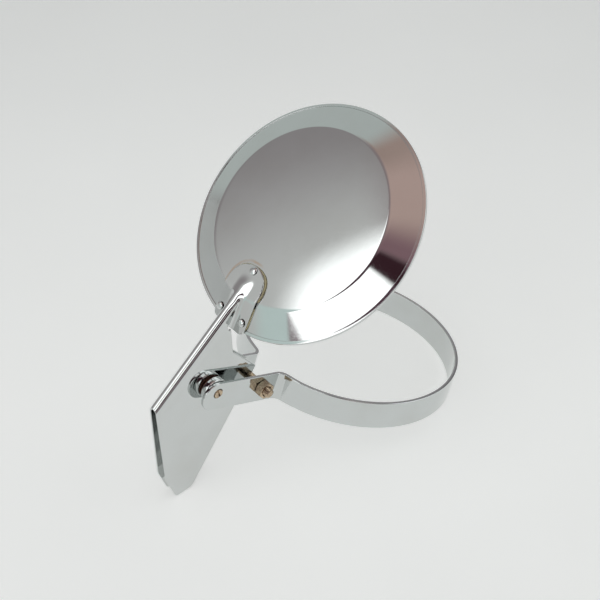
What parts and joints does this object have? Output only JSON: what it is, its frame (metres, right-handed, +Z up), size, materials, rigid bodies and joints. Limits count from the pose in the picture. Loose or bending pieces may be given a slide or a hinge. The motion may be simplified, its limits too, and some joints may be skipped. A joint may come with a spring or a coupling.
{
  "type": "clamp-on towing mirror",
  "caption": "Round chrome mirror on a folded sheet arm that tilts on a pivot screw between the legs of a band clamp.",
  "frame": {"origin": "centre of the overall box, on the surface the mirror stands on", "axes": "+Z up; +Y along the pivot screw and the clamp bolt; the arm's free end towards -X and the band's ring towards +X"},
  "size_m": [0.2232, 0.15, 0.2017],
  "materials": {
    "chrome_dish": "bright chrome plate on spun steel",
    "chrome_bezel": "bright chrome plate, rolled",
    "mirror": "silvered glass, gently convex",
    "seal": "matt black rubber channel",
    "pad": "grey-brown pressed board",
    "chrome_sheet": "bright chrome plate on folded sheet steel",
    "gasket": "tan sealing gasket",
    "chrome_rivet": "bright rivets",
    "chrome_strap": "bright chrome plate on strip steel",
    "chrome_spacer": "bright chrome, turned",
    "fibre": "dark red-brown fibre washer",
    "zinc": "yellow zinc plated steel"
  },
  "bodies": {
    "band": {"clamp_band": "chrome_strap", "pivot_spacer_front": "chrome_spacer", "pivot_spacer_rear": "chrome_spacer", "friction_washer_front": "fibre", "friction_washer_rear": "fibre", "pivot_washer": "zinc", "pivot_nut": "zinc", "clamp_washer": "zinc", "clamp_lock_washer": "zinc", "clamp_nut": "zinc"},
    "head": {"back_shell": "chrome_dish", "bezel_ring": "chrome_bezel", "mirror_glass": "mirror", "glass_seal": "seal", "backing_pad": "pad", "arm_plate": "chrome_sheet", "tab_gasket": "gasket", "rivet_inner": "chrome_rivet", "rivet_front": "chrome_rivet", "rivet_rear": "chrome_rivet", "pivot_sleeve": "zinc"},
    "pivot_screw": {"pivot_screw": "zinc"},
    "clamp_bolt": {"clamp_bolt": "zinc"}
  },
  "joints": [
    {"name": "arm_tilt", "type": "hinge", "parent": "band", "child": "head", "pos_m": [-0.07238, 0, 0.07736], "axis": [0, 1, 0], "range_deg": [-32, 14]},
    {"name": "pivot_screw_turn", "type": "hinge", "parent": "band", "child": "pivot_screw", "pos_m": [-0.07238, 0, 0.07736], "axis": [0, 1, 0], "continuous": true},
    {"name": "clamp_bolt_turn", "type": "hinge", "parent": "band", "child": "clamp_bolt", "pos_m": [-0.04015, 0, 0.0602], "axis": [0, 1, 0], "continuous": true}
  ]
}
